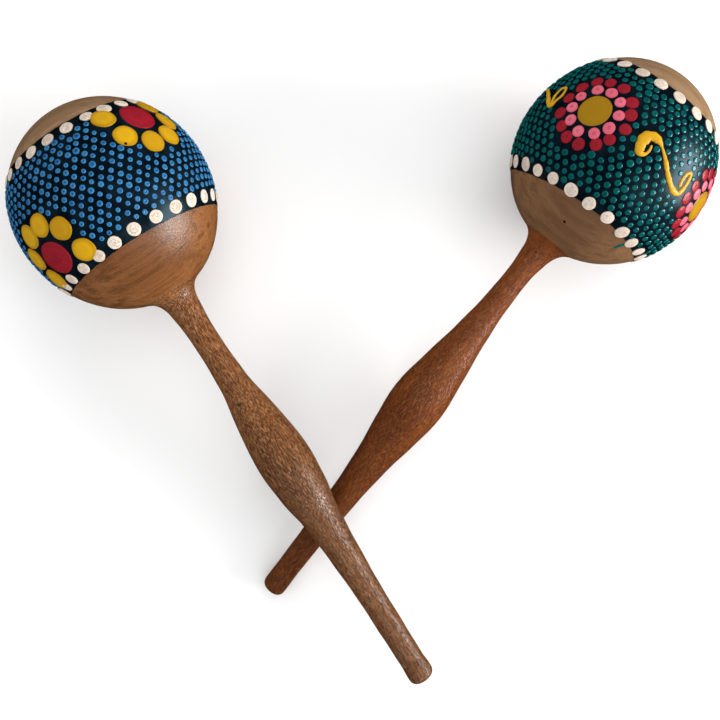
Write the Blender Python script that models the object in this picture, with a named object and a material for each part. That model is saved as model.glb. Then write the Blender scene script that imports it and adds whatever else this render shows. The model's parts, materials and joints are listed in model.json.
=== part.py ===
"""A pair of turned wooden maracas, lying crossed on a flat surface.

Each maraca is a hollow wooden ball, turned as two shells that meet in a
rebate round the equator, on a turned handle whose tenon is glued into the
foot of the ball.  Loose seeds lie in the chamber.  The green maraca lies on
its head and on its butt; the blue one lies on its head and across the green
one's handle.

Metres, +Z up.  The surface is z = 0, and the origin is under the middle of
the pair's bounding box.  In a maraca's own frame the head's centre is the
origin, +Z runs to the crown, the handle runs down -Z, +X is level and -Y
points at the surface that the maraca lies on.
"""

import math
from dataclasses import dataclass

import bmesh
import bpy
from mathutils import Matrix, Vector

# Driving dimensions that both maracas share.
WALL = 0.0042
GAP = 0.0003
FLOOR_THICKNESS = 0.0100
REBATE_DEPTH = 0.0040
TENON_RADIUS = 0.0050
TENON_SHY = 0.0005
BUTT_ROUND = 0.0026
SHOULDER_EDGE = 0.0006

# The seeds, and the three slabs of the chamber that they lie in.
SEED_RADII = (0.0030, 0.0026, 0.0023)
SEED_CLEARANCE = 0.0005
SEED_ROW_STEP = 0.0066
SEED_TURN = math.radians(137.5)
SLAB_HEIGHTS = (0.0030, -0.0050, -0.0130)
SLAB_NAMES = ("upper", "middle", "lower")
OUTER_ROW = (-24.0, -8.0, 8.0, 24.0)
INNER_ROW = (-20.0, 20.0)

# The handle's centre line leaves the ball's axis between these distances.
SWAY_START = 0.022
SWAY_END = 0.052

# Sharp edges are those that turn by more than this.
SHARP_ANGLE = math.radians(35.0)

# Facets.
HEAD_SIDES = 36
HEAD_BANDS = 9
CHAMBER_BANDS = 7
HANDLE_SIDES = 24
HANDLE_BANDS = 26
HANDLE_CROWDING = 1.3
BUTT_BANDS = 3
MERGE_DISTANCE = 1e-7


@dataclass(frozen=True)
class Maraca:
    """One maraca's own sizes, and how it lies."""

    name: str
    equator: float
    crown: float
    base: float
    length: float
    shoulder: float
    stations: tuple
    butt_radius: float
    head_sway: float
    butt_sway: float
    place: tuple
    heading: float
    head_colour: tuple
    handle_colour: tuple


# Stations are (distance from the head's centre, radius) down the handle:
# fillet under the ball, neck, swelling for the hand, grip.
BLUE = Maraca(
    name="blue",
    equator=0.0380,
    crown=0.0388,
    base=0.0414,
    length=0.2210,
    shoulder=0.0094,
    stations=(
        (0.0430, 0.0072), (0.0470, 0.0062), (0.0620, 0.0052), (0.0800, 0.0060),
        (0.1020, 0.0094), (0.1160, 0.0109), (0.1300, 0.0100), (0.1420, 0.0082),
        (0.1600, 0.0065), (0.1900, 0.0054),
    ),
    butt_radius=0.0052,
    head_sway=-0.0005,
    butt_sway=0.0018,
    place=(-0.0933, 0.0674),
    heading=-57.3,
    head_colour=(0.29, 0.12, 0.05),
    handle_colour=(0.22, 0.09, 0.03),
)
GREEN = Maraca(
    name="green",
    equator=0.0373,
    crown=0.0399,
    base=0.0377,
    length=0.2148,
    shoulder=0.0090,
    stations=(
        (0.0400, 0.0066), (0.0440, 0.0055), (0.0520, 0.0049), (0.0660, 0.0053),
        (0.0800, 0.0065), (0.1020, 0.0098), (0.1160, 0.0112), (0.1300, 0.0099),
        (0.1420, 0.0079), (0.1560, 0.0065), (0.1860, 0.0051),
    ),
    butt_radius=0.0047,
    head_sway=0.0011,
    butt_sway=-0.0017,
    place=(0.0932, 0.0814),
    heading=-128.1,
    head_colour=(0.20, 0.10, 0.05),
    handle_colour=(0.15, 0.05, 0.02),
)
SEED_COLOUR = (0.32, 0.16, 0.06)
HEAD_ROUGHNESS = 0.45
HANDLE_ROUGHNESS = 0.50
SEED_ROUGHNESS = 0.60


def clear_scene():
    for obj in list(bpy.data.objects):
        bpy.data.objects.remove(obj, do_unlink=True)


def make_material(name, colour, roughness):
    material = bpy.data.materials.new(name)
    material.use_nodes = True
    shader = material.node_tree.nodes["Principled BSDF"]
    shader.inputs["Base Color"].default_value = (*colour, 1.0)
    shader.inputs["Roughness"].default_value = roughness
    shader.inputs["Metallic"].default_value = 0.0
    return material


def smooth_step(value):
    value = min(max(value, 0.0), 1.0)
    return value * value * (3.0 - 2.0 * value)


def curve_value(points, distance):
    """A smooth curve through (distance, value) points, flat at its peaks."""
    last = len(points) - 1
    index = 0
    while index < last - 1 and distance > points[index + 1][0]:
        index += 1

    def chord(first):
        run = points[first + 1][0] - points[first][0]
        return (points[first + 1][1] - points[first][1]) / run

    def slope(at):
        before = chord(max(at - 1, 0))
        after = chord(min(at, last - 1))
        if before * after <= 0.0:
            return 0.0
        return 2.0 * before * after / (before + after)

    start, end = points[index], points[index + 1]
    run = end[0] - start[0]
    part = (distance - start[0]) / run
    rise = smooth_step(part)
    lead_in = part * (1.0 - part) ** 2
    lead_out = part * part * (part - 1.0)
    value = start[1] * (1.0 - rise) + end[1] * rise
    return value + run * (lead_in * slope(index) + lead_out * slope(index + 1))


def sway(maraca, height):
    """How far the centre line is off the ball's axis, along +X."""
    distance = -height
    leaving = smooth_step((distance - SWAY_START) / (SWAY_END - SWAY_START))
    along = max(distance - SWAY_END, 0.0) / (maraca.length - SWAY_END)
    return maraca.head_sway * leaving + maraca.butt_sway * along * along


def turn(name, outline, sides, maraca, is_loop, material, parent):
    """Spin a (radius, height) outline about Z into one closed solid."""
    bm = bmesh.new()
    verts = [bm.verts.new((radius, 0.0, height)) for radius, height in outline]
    edges = [bm.edges.new(pair) for pair in zip(verts, verts[1:])]
    if is_loop:
        edges.append(bm.edges.new((verts[-1], verts[0])))
    bmesh.ops.spin(
        bm,
        geom=verts + edges,
        cent=(0.0, 0.0, 0.0),
        axis=(0.0, 0.0, 1.0),
        angle=math.tau,
        steps=sides,
        use_merge=True,
    )
    bmesh.ops.remove_doubles(bm, verts=bm.verts, dist=MERGE_DISTANCE)
    bmesh.ops.recalc_face_normals(bm, faces=bm.faces)
    for vert in bm.verts:
        vert.co.x += sway(maraca, vert.co.z)
    mesh = bpy.data.meshes.new(name)
    bm.to_mesh(mesh)
    bm.free()
    mesh.shade_smooth()
    mesh.set_sharp_from_angle(angle=SHARP_ANGLE)
    mesh.materials.append(material)
    obj = bpy.data.objects.new(name, mesh)
    bpy.context.collection.objects.link(obj)
    obj.parent = parent
    return obj


def arc(radius, height, start, end, bands):
    """Points on a quarter ellipse; angles run from the equator to a pole."""
    angles = [start + (end - start) * step / bands for step in range(bands + 1)]
    return [(radius * math.cos(angle), height * math.sin(angle)) for angle in angles]


def angle_at_radius(radius, equator):
    return math.acos(radius / equator)


def angle_at_height(height, pole):
    return math.asin(height / pole)


def chamber_floor(maraca):
    """Height of the flat floor that the handle's socket passes through."""
    return FLOOR_THICKNESS - maraca.base


def make_upper_shell(maraca, material, parent):
    """The crown half: a bowl with a spigot round the inner side of its rim."""
    inner = maraca.equator - WALL
    step = maraca.equator - WALL / 2.0 - GAP / 2.0
    outside = arc(maraca.equator, maraca.crown, math.pi / 2.0, 0.0, HEAD_BANDS)
    outside[0] = (0.0, maraca.crown)
    rim = angle_at_height(GAP, maraca.crown)
    outside[-1] = (maraca.equator * math.cos(rim), GAP)
    spigot_end = GAP - REBATE_DEPTH
    spigot = [(step, GAP), (step, spigot_end), (inner, spigot_end)]
    inside = arc(inner, maraca.crown - WALL, 0.0, math.pi / 2.0, CHAMBER_BANDS)
    inside[-1] = (0.0, maraca.crown - WALL)
    outline = outside + spigot + inside
    name = f"{maraca.name}_upper_shell"
    return turn(name, outline, HEAD_SIDES, maraca, False, material, parent)


def make_lower_shell(maraca, material, parent):
    """The foot half: a bowl with a rebated rim and a socket for the handle."""
    inner = maraca.equator - WALL
    inner_base = maraca.base - WALL
    step = maraca.equator - WALL / 2.0 + GAP / 2.0
    hole = TENON_RADIUS + GAP
    foot = angle_at_radius(hole, maraca.equator)
    outside = arc(maraca.equator, -maraca.base, 0.0, foot, HEAD_BANDS)
    floor = chamber_floor(maraca)
    rebate = -REBATE_DEPTH
    top = angle_at_height(-rebate, inner_base)
    bottom = angle_at_height(-floor, inner_base)
    inside = arc(inner, -inner_base, bottom, top, CHAMBER_BANDS)
    outline = outside + [(hole, floor)] + inside + [(step, rebate), (step, 0.0)]
    name = f"{maraca.name}_lower_shell"
    return turn(name, outline, HEAD_SIDES, maraca, True, material, parent)


def shoulder_points(maraca):
    """The handle's hollowed top face, a gap away from the foot of the ball."""
    points = []
    for radius in (TENON_RADIUS, (TENON_RADIUS + maraca.shoulder) / 2.0, maraca.shoulder):
        angle = angle_at_radius(radius, maraca.equator)
        points.append((radius, -maraca.base * math.sin(angle) - GAP))
    return points


def handle_curve(maraca):
    """Radius down the handle, from the shoulder's edge to the butt's round."""
    shoulder_height = -shoulder_points(maraca)[-1][1]
    first = (shoulder_height + SHOULDER_EDGE, maraca.shoulder)
    last = (maraca.length - BUTT_ROUND, maraca.butt_radius)
    return (first, *maraca.stations, last)


def make_handle(maraca, material, parent):
    """Tenon, shoulder, fillet, neck, swelling, grip and rounded butt."""
    tenon_top = chamber_floor(maraca) - TENON_SHY
    points = [(0.0, tenon_top), (TENON_RADIUS, tenon_top)]
    points += shoulder_points(maraca)
    curve = handle_curve(maraca)
    start = curve[0][0]
    run = curve[-1][0] - start
    for band in range(HANDLE_BANDS + 1):
        # Bands crowd together under the ball, where the fillet is.
        distance = start + run * (band / HANDLE_BANDS) ** HANDLE_CROWDING
        points.append((curve_value(curve, distance), -distance))
    flat = maraca.butt_radius - BUTT_ROUND
    for band in range(1, BUTT_BANDS + 1):
        angle = math.pi / 2.0 * band / BUTT_BANDS
        radius = flat + BUTT_ROUND * math.cos(angle)
        distance = maraca.length - BUTT_ROUND * (1.0 - math.sin(angle))
        points.append((radius, -distance))
    points.append((0.0, -maraca.length))
    name = f"{maraca.name}_handle"
    return turn(name, points, HANDLE_SIDES, maraca, False, material, parent)


def make_seed_mesh(material):
    mesh = bpy.data.meshes.new("seed")
    bm = bmesh.new()
    bmesh.ops.create_icosphere(bm, subdivisions=2, radius=1.0)
    bmesh.ops.scale(bm, vec=SEED_RADII, verts=bm.verts)
    bm.to_mesh(mesh)
    bm.free()
    mesh.shade_smooth()
    mesh.materials.append(material)
    return mesh


def make_empty(name, matrix, parent):
    empty = bpy.data.objects.new(name, None)
    bpy.context.collection.objects.link(empty)
    empty.parent = parent
    empty.matrix_local = matrix
    return empty


def make_seeds(maraca, mesh, parent):
    """Three heaps in slabs side by side, each in two rows on the chamber wall."""
    reach = maraca.equator - WALL - max(SEED_RADII) - SEED_CLEARANCE
    number = 0
    for slab_name, height in zip(SLAB_NAMES, SLAB_HEIGHTS):
        heap = make_empty(f"{maraca.name}_{slab_name}_heap", Matrix(), parent)
        row_radius = math.sqrt(reach * reach - height * height)
        rows = ((row_radius, OUTER_ROW), (row_radius - SEED_ROW_STEP, INNER_ROW))
        for radius, angles in rows:
            for degrees in angles:
                number += 1
                angle = math.radians(degrees - 90.0)
                seed = bpy.data.objects.new(f"{maraca.name}_seed_{number:02d}", mesh)
                bpy.context.collection.objects.link(seed)
                seed.parent = heap
                seed.location = (radius * math.cos(angle), radius * math.sin(angle), height)
                seed.rotation_euler = (number * SEED_TURN, number * SEED_TURN / 2.0, angle)


def head_height(maraca, slope):
    """Height of the head's centre when the ball lies on z = 0."""
    level = maraca.equator * math.cos(slope)
    tipped = maraca.base * math.sin(slope)
    return math.hypot(level, tipped)


def resting_slope(maraca, distance, radius, support):
    """Slope at which the handle lies on something at height support."""
    slope = 0.0
    for _ in range(20):
        drop = head_height(maraca, slope) - support - radius / math.cos(slope)
        slope = math.asin(drop / distance)
    return slope


def crossing_distances(over, under):
    """Level distances from both head centres to where the handles cross."""
    over_way = Vector((math.cos(math.radians(over.heading)), math.sin(math.radians(over.heading))))
    under_way = Vector((math.cos(math.radians(under.heading)), math.sin(math.radians(under.heading))))
    between = Vector(under.place) - Vector(over.place)
    turn_between = over_way.cross(under_way)
    return between.cross(under_way) / turn_between, between.cross(over_way) / turn_between


def lying_slopes():
    """Slopes of the green maraca, on its butt, and of the blue one across it."""
    butt = GREEN.length - BUTT_ROUND
    green = resting_slope(GREEN, butt, GREEN.butt_radius, 0.0)
    blue_way, green_way = crossing_distances(BLUE, GREEN)
    green_way /= math.cos(green)
    green_radius = curve_value(handle_curve(GREEN), green_way) / math.cos(green)
    middle = head_height(GREEN, green) - green_way * math.sin(green)
    support = middle + green_radius + GAP
    blue_radius = curve_value(handle_curve(BLUE), blue_way)
    return green, resting_slope(BLUE, blue_way, blue_radius, support)


def lying_matrix(maraca, slope):
    """The maraca's own frame in the pair's frame."""
    heading = math.radians(maraca.heading)
    down_handle = Vector((
        math.cos(slope) * math.cos(heading),
        math.cos(slope) * math.sin(heading),
        -math.sin(slope),
    ))
    up_axis = -down_handle
    level_axis = Vector((math.sin(heading), -math.cos(heading), 0.0))
    # +Y of the maraca's frame points away from the surface.
    away = up_axis.cross(level_axis)
    matrix = Matrix((level_axis, away, up_axis)).transposed().to_4x4()
    matrix.translation = (*maraca.place, head_height(maraca, slope))
    return matrix


def make_maraca(maraca, slope, seed_mesh):
    head_wood = make_material(f"{maraca.name}_head_wood", maraca.head_colour, HEAD_ROUGHNESS)
    handle_wood = make_material(f"{maraca.name}_handle_wood", maraca.handle_colour, HANDLE_ROUGHNESS)
    frame = make_empty(f"{maraca.name}_maraca", lying_matrix(maraca, slope), None)
    make_upper_shell(maraca, head_wood, frame)
    make_lower_shell(maraca, head_wood, frame)
    make_handle(maraca, handle_wood, frame)
    make_seeds(maraca, seed_mesh, frame)


def main():
    clear_scene()
    seed_mesh = make_seed_mesh(make_material("seed", SEED_COLOUR, SEED_ROUGHNESS))
    green_slope, blue_slope = lying_slopes()
    make_maraca(GREEN, green_slope, seed_mesh)
    make_maraca(BLUE, blue_slope, seed_mesh)
    bpy.context.view_layer.update()


main()
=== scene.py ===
"""Looks of a pair of hand-painted wooden maracas lying crossed."""
import json
import math
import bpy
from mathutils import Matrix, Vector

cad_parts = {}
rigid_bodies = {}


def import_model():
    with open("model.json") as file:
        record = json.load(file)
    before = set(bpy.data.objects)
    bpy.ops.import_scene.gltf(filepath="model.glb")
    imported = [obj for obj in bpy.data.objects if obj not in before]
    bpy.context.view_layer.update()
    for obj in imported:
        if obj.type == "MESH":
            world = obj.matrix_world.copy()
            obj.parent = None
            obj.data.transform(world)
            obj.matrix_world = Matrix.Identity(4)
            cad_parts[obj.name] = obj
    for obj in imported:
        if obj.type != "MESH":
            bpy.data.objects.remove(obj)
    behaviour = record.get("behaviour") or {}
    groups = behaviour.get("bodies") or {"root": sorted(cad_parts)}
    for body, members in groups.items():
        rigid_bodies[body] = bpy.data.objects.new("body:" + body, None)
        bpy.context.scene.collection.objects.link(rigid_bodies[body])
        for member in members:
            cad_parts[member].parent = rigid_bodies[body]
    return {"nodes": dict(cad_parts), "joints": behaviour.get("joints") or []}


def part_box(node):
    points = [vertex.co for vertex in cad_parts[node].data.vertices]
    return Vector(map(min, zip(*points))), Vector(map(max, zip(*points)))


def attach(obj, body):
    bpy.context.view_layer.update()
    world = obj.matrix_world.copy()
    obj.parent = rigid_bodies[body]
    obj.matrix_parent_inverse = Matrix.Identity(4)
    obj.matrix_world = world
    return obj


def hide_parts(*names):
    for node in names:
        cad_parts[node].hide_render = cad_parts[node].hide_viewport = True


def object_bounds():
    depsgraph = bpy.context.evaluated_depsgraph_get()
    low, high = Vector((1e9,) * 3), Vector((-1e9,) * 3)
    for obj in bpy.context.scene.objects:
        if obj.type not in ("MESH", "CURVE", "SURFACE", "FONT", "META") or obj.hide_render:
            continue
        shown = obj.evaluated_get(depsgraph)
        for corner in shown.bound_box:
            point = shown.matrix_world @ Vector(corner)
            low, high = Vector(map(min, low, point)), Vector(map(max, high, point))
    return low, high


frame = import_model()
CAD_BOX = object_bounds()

from types import SimpleNamespace

import bpy
import numpy as np
from mathutils import Matrix, Vector

MM = 0.001

# ---- sizes
# Millimetres, in each maraca's own frame: +Z to the crown, +Y away from the
# surface that it lies on, and the head's centre at the origin.
WALL = 4.2
GAP = 0.3
SEAM = 0.03
FOOT_THICKNESS = 10.0
REBATE_DEPTH = 4.0
TENON_RADIUS = 5.0
TENON_SHY = 0.5
BUTT_ROUND = 2.6
SWAY_START = 22.0
SWAY_END = 52.0
TENON_CHAMFER = 0.4
SEED_RADII = (3.0, 2.6, 2.3)
SEEDS_PER_HEAD = 18
# A seed's skin is this share of the plain seed's size.
SEED_SHARE = 0.97

# Edges of the painted band and rows of rim dots: (mean latitude, tilt, sag,
# longitude of the highest point), and for dots (count, first one). The random
# draws of the wood and seeds start from seed, and those of the paint from
# paint_seed.
BLUE = SimpleNamespace(
    name="blue", equator=38.0, crown=38.8, base=41.4, length=221.0,
    shoulder=9.4, butt=5.2, head_sway=-0.5, butt_sway=1.8,
    stations=(
        (47.0, 6.2), (62.0, 5.2), (80.0, 6.0), (102.0, 9.4),
        (116.0, 10.9), (130.0, 10.0), (142.0, 8.2), (160.0, 6.5), (190.0, 5.4),
    ),
    band_low=(-33.3, 0.9, 1.1, -6.0), band_high=(43.5, 1.1, 0.3, -5.0),
    rim_low=(-29.3, 1.6, 0.6, -22.0, 26, 4.8), rim_high=(39.0, 1.2, 0.0, -8.0, 24, 6.5),
    rim_radius=2.45, column_lean=0.72, pitch=3.1, dot_radius=(0.86, 1.14),
    seed=11, paint_seed=5,
)
GREEN = SimpleNamespace(
    name="green", equator=37.3, crown=39.9, base=37.7, length=214.8,
    shoulder=9.0, butt=4.7, head_sway=1.1, butt_sway=-1.7,
    stations=(
        (44.0, 5.6), (52.0, 4.9), (66.0, 5.3), (80.0, 6.5), (102.0, 9.8),
        (116.0, 11.2), (130.0, 9.9), (142.0, 7.9), (156.0, 6.5), (186.0, 5.1),
    ),
    band_low=(-37.8, 2.0, 2.3, -12.0), band_high=(47.6, 1.8, 0.0, -2.0),
    rim_low=(-34.2, 1.6, 1.0, -8.0, 25, -1.0), rim_high=(44.6, 1.4, 0.0, -18.0, 21, -4.5),
    rim_radius=2.5, column_lean=0.95, pitch=3.05, dot_radius=(1.02, 1.22),
    seed=23, paint_seed=9,
)
# The head's wood lies this far inside its painted surface, the black coat is
# this thick, and drops and lines reach this far down into the wood.
PAINT = 0.6
COAT = 0.13
BED = 0.10

# Flowers: (latitude, longitude), and the petals' bearings on the blue head.
BLUE_FLOWERS = (
    (26.2, -51.0, (63, 114, 162, 207, 250, 293)),
    (-15.8, 41.6, (250, 300, 343, 23, 70, 117)),
    (25.0, 131.0, (66, 112, 158, 204, 249, 295)),
    (-15.8, -139.0, (248, 296, 341, 26, 72, 114)),
)
GREEN_FLOWERS = ((9.4, 30.3), (7.9, -65.0), (7.5, 121.0), (9.5, -155.0))
# Radii of the flowers' hearts, and of the rings that small dots stay out of.
BLUE_HEART = 6.5
BLUE_CLEARING = 11.5
GREEN_HEART = 6.4
GREEN_CLEARING = 12.2
# Petals: radius, and distance from the flower's centre.
PETAL = 4.5
PETAL_REACH = 12.4
# Rings of drops round a green heart: (count, distance, radius, first angle),
# and how far each next flower's rings are turned.
PINK_RING = (10, 8.75, 2.12, 0.03)
CRIMSON_RING = (14, 12.6, 2.25, 0.26)
RING_TURN = 0.11
# Squiggles: (latitude, longitude, half width in mm) along the brush's way.
LONG_SQUIGGLE = (
    (12.0, -6.3, 0.4), (9.0, -7.0, 0.45), (6.2, -6.2, 0.7), (5.2, -3.8, 1.25),
    (7.4, -1.9, 1.85), (11.0, -1.0, 2.0), (14.6, -1.9, 2.0), (16.4, -5.0, 1.6),
    (16.0, -9.0, 1.15), (14.4, -12.2, 0.45), (11.0, -17.2, 0.8), (6.9, -22.5, 0.9),
    (4.0, -27.2, 1.0), (1.9, -32.8, 1.1), (2.7, -36.8, 1.0), (6.6, -38.0, 0.85),
    (10.6, -38.0, 0.75), (15.1, -36.9, 0.7), (13.7, -34.5, 0.65), (9.7, -33.7, 0.7),
    (5.6, -34.9, 0.7),
)
SHORT_SQUIGGLE = (
    (10.0, 79.6, 0.7), (5.5, 68.6, 0.85), (0.9, 60.9, 0.95), (0.8, 57.9, 0.9),
    (4.7, 57.0, 0.65), (8.5, 56.2, 0.55), (12.9, 58.4, 0.55), (12.1, 61.6, 0.55),
    (7.6, 61.9, 0.6), (3.9, 60.3, 0.65), (1.2, 58.6, 0.7),
)
# Heights of the squiggles' paint: thick and thin ones take turns.
THICK_LINE = 0.75
THIN_LINE = 0.45
# A brush mark in teal across the green band's edge, and its height.
SMEAR = ((-42.6, -41.2, 0.3), (-39.8, -41.0, 0.6), (-37.3, -41.4, 0.75), (-34.6, -43.0, 0.4))
SMEAR_HEIGHT = 0.22
# A dark fleck on the green head's foot and a dark nick in one yellow petal.
FLECK = (-50.6, 4.3)
FLECK_RADIUS = 0.62
PETAL_NICK = (13.1, -29.9)
NICK_RADIUS = 0.5
# Spatters of paint on the blue maraca's handle: (distance below the head's
# centre, angle from +Y towards +X, radius, paint).
BLUE_HANDLE_SPECKS = ((89.5, 0.30, 0.62, "dark_green"), (184.5, -0.62, 0.5, "slate"))
# Pieces made of broad drops: (paint, height, points round a drop, unevenness,
# lift of its rim).
BROAD_DROPS = {
    "blue_rim_dots": ("cream", 0.42, 32, 0.05, 0.10),
    "blue_petals": ("yellow", 0.28, 48, 0.05, 0.30),
    "blue_flower_hearts": ("crimson", 0.34, 56, 0.03, 0.16),
    "blue_petal_nick": ("fleck", 0.10, 16, 0.20, 0.50),
    "green_rim_dots": ("cream", 0.42, 32, 0.05, 0.10),
    "green_flower_hearts": ("mustard", 0.30, 56, 0.02, 0.12),
    "green_pink_drops": ("pink", 0.42, 28, 0.06, 0.14),
    "green_crimson_drops": ("crimson", 0.36, 28, 0.06, 0.10),
    "green_foot_fleck": ("fleck", 0.10, 16, 0.20, 0.0),
}

# ---- studio
# Metres and watts. The camera looks straight down; its place is given from
# the middle of the CAD's box, and its height from the floor.
CAMERA_LENS = 47.85
CAMERA_SENSOR = 36.0
CAMERA_ASIDE = (-0.0009, 0.0081)
CAMERA_HEIGHT = 0.397
FLOOR_HALF = 20.0
FLOOR_DROP = 0.0002
LIGHTS_AIM = (0.0, 0.0, 0.03)
# (name, place, size, power, colour)
LIGHTS = (
    ("window", (1.08, -0.19, 0.30), (0.66, 0.60), 16.0, (1.0, 0.985, 0.96)),
    ("far_window", (0.55, -0.75, 0.95), (0.6, 0.6), 1.2, (0.94, 0.97, 1.0)),
    ("ceiling", (0.35, 0.70, 1.2), (1.2, 1.2), 4.8, (1.0, 1.0, 1.0)),
)
DAYLIGHT = 0.93
# The window's light comes back bluish from the dark paints.
COOL_GLINT = (0.45, 0.80, 1.0, 1.0)
PLAIN_GLINT = (1.0, 1.0, 1.0, 1.0)


# ---- numbers
def smooth_step(value):
    value = np.clip(value, 0.0, 1.0)
    return value * value * (3.0 - 2.0 * value)


def waves(angle, amplitude, periods, rng):
    """A smooth closed wobble: a few sine waves round a turn."""
    total = np.zeros_like(angle)
    for period in periods:
        phase = rng.uniform(0.0, math.tau)
        total += np.sin(angle * period + phase) * rng.uniform(0.4, 1.0)
    return total * amplitude / len(periods)


def sway(maraca, height):
    """How far the maraca's axis is bent aside at a height."""
    distance = -np.asarray(height, float)
    leaving = smooth_step((distance - SWAY_START) / (SWAY_END - SWAY_START))
    along = np.maximum(distance - SWAY_END, 0.0) / (maraca.length - SWAY_END)
    return maraca.head_sway * leaving + maraca.butt_sway * along * along


def direction(latitude, longitude):
    """Unit vectors; longitude 0 is +Y, away from the surface, and +90 is +X."""
    lat = np.radians(latitude)
    lon = np.radians(longitude)
    return np.stack([np.cos(lat) * np.sin(lon), np.cos(lat) * np.cos(lon), np.sin(lat)], -1)


def head_point(maraca, way, lift):
    """Points on the ball along unit vectors, lifted along the ball's normal."""
    half = np.where(way[..., 2] >= 0.0, maraca.crown, maraca.base)
    round_radius = maraca.equator - PAINT
    scale = np.stack([np.full_like(half, round_radius, float)] * 2 + [half], -1)
    reach = 1.0 / np.linalg.norm(way / scale, axis=-1)
    point = way * reach[..., None]
    normal = point / scale**2
    normal /= np.linalg.norm(normal, axis=-1)[..., None]
    point = point + normal * (np.asarray(lift, float) + turning_marks(point[..., 2]))[..., None]
    point[..., 0] += sway(maraca, point[..., 2])
    return point


def turning_marks(height):
    """How far the lathe's shallow rings lie under a true ball."""
    return 0.04 * (np.sin(height * 0.55 + 1.0) * np.cos(height * 0.21) - 1.0)


def tangents(way):
    """East and north unit vectors at a unit vector on the ball."""
    east = np.cross(way, np.array([0.0, 0.0, 1.0]))
    east /= np.linalg.norm(east)
    return east, np.cross(east, way)


# ---- meshes
class Piece:
    """Vertices, faces and a per-vertex tone, joined into one mesh at the end."""

    def __init__(self):
        self.points = []
        self.tones = []
        self.faces = []
        self.count = 0

    def add(self, points, faces, tones=0.0):
        self.points.append(points)
        self.tones.append(np.broadcast_to(tones, points.shape))
        self.faces.extend([tuple(i + self.count for i in face) for face in faces])
        self.count += len(points)
        return self

    def build(self, name, maraca, material, body, slot, replaces=None):
        points = np.concatenate(self.points)
        tones = np.concatenate(self.tones)
        mesh = bpy.data.meshes.new(name)
        mesh.from_pydata((points * MM).tolist(), [], self.faces)
        for title, values in (("local", points), ("tone", tones)):
            attribute = mesh.attributes.new(title, "FLOAT_VECTOR", "POINT")
            attribute.data.foreach_set("vector", values.astype(np.float32).ravel())
        mesh.transform(maraca.matrix)
        mesh.materials.append(material)
        mesh.update()
        mesh.shade_smooth()
        mesh.set_sharp_from_angle(angle=math.radians(40.0))
        obj = bpy.data.objects.new(name, mesh)
        bpy.context.scene.collection.objects.link(obj)
        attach(obj, body)
        if replaces:
            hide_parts(*replaces)


def ring_faces(rows, sides, is_loop):
    """Quads between rows of rings; the last row joins the first in a loop."""
    faces = []
    for row in range(rows if is_loop else rows - 1):
        upper, lower = row * sides, (row + 1) % rows * sides
        for side in range(sides):
            after = (side + 1) % sides
            faces.append((upper + side, lower + side, lower + after, upper + after))
    return faces


def fan(hub, first, sides, is_below=False):
    """Triangles from a hub to the ring of points that starts at first."""
    faces = []
    for side in range(sides):
        here, after = first + side, first + (side + 1) % sides
        faces.append((hub, after, here) if is_below else (hub, here, after))
    return faces


def turned_piece(maraca, outline, sides, is_loop, wobble=None):
    """A closed solid turned from (radius, height) points, top to bottom outside."""
    outline = np.asarray(outline, float)
    angle = np.arange(sides) * math.tau / sides
    inner = outline if is_loop else outline[1:-1]
    radius = np.repeat(inner[:, :1], sides, axis=1)
    height = np.repeat(inner[:, 1:], sides, axis=1)
    if wobble is not None:
        radius = radius + wobble(radius, height, angle)
    points = np.stack([radius * np.sin(-angle), radius * np.cos(angle), height], -1)
    points = points.reshape(-1, 3)
    faces = ring_faces(len(inner), sides, is_loop)
    if not is_loop:
        top = len(points)
        points = np.vstack([points, [0.0, 0.0, outline[0, 1]], [0.0, 0.0, outline[-1, 1]]])
        faces += fan(top, 0, sides) + fan(top + 1, top - sides, sides, True)
    points[:, 0] += sway(maraca, points[:, 2])
    return Piece().add(points, faces)


def arc(radius, height, start, end, bands):
    """(radius, height) points along part of an ellipse."""
    angle = np.linspace(start, end, bands + 1)
    return np.stack([radius * np.cos(angle), height * np.sin(angle)], -1)


def ball_wobble(maraca):
    """The same turning marks on the shells as head_point puts under the paint."""
    def wobble(radius, height, angle):
        outside = np.where(height >= 0.0, maraca.crown, maraca.base)
        round_radius = maraca.equator - PAINT
        reach = np.hypot(radius / round_radius, height / outside)
        on_skin = smooth_step((reach - 0.97) / 0.02)
        return turning_marks(height) * on_skin * radius / round_radius
    return wobble


def upper_shell(maraca):
    outer = maraca.equator - PAINT
    inner = maraca.equator - WALL
    step = maraca.equator - WALL / 2.0 - GAP / 2.0
    outside = arc(outer, maraca.crown, math.pi / 2.0, 0.0, 64)
    outside[0] = (0.0, maraca.crown)
    outside[-1] = (outer, GAP)
    spigot = [(step, GAP), (step, GAP - REBATE_DEPTH), (inner, GAP - REBATE_DEPTH)]
    inside = arc(inner, maraca.crown - WALL, 0.0, math.pi / 2.0, 20)
    inside[-1, 0] = 0.0
    outline = np.vstack([outside, spigot, inside])
    return turned_piece(maraca, outline, 192, False, ball_wobble(maraca))


def lower_shell(maraca):
    outer = maraca.equator - PAINT
    inner = maraca.equator - WALL
    inner_base = maraca.base - WALL
    step = maraca.equator - WALL / 2.0 + GAP / 2.0
    hole = TENON_RADIUS + GAP
    floor = FOOT_THICKNESS - maraca.base
    foot = math.acos(hole / outer)
    outside = arc(outer, -maraca.base, 0.0, foot, 60)
    bottom = math.asin(-floor / inner_base)
    top = math.asin(REBATE_DEPTH / inner_base)
    inside = arc(inner, -inner_base, bottom, top, 18)
    outline = np.vstack([outside, [(hole, floor)], inside,
                         [(step, -REBATE_DEPTH), (step, 0.0)]])
    return turned_piece(maraca, outline, 192, True, ball_wobble(maraca))


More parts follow.
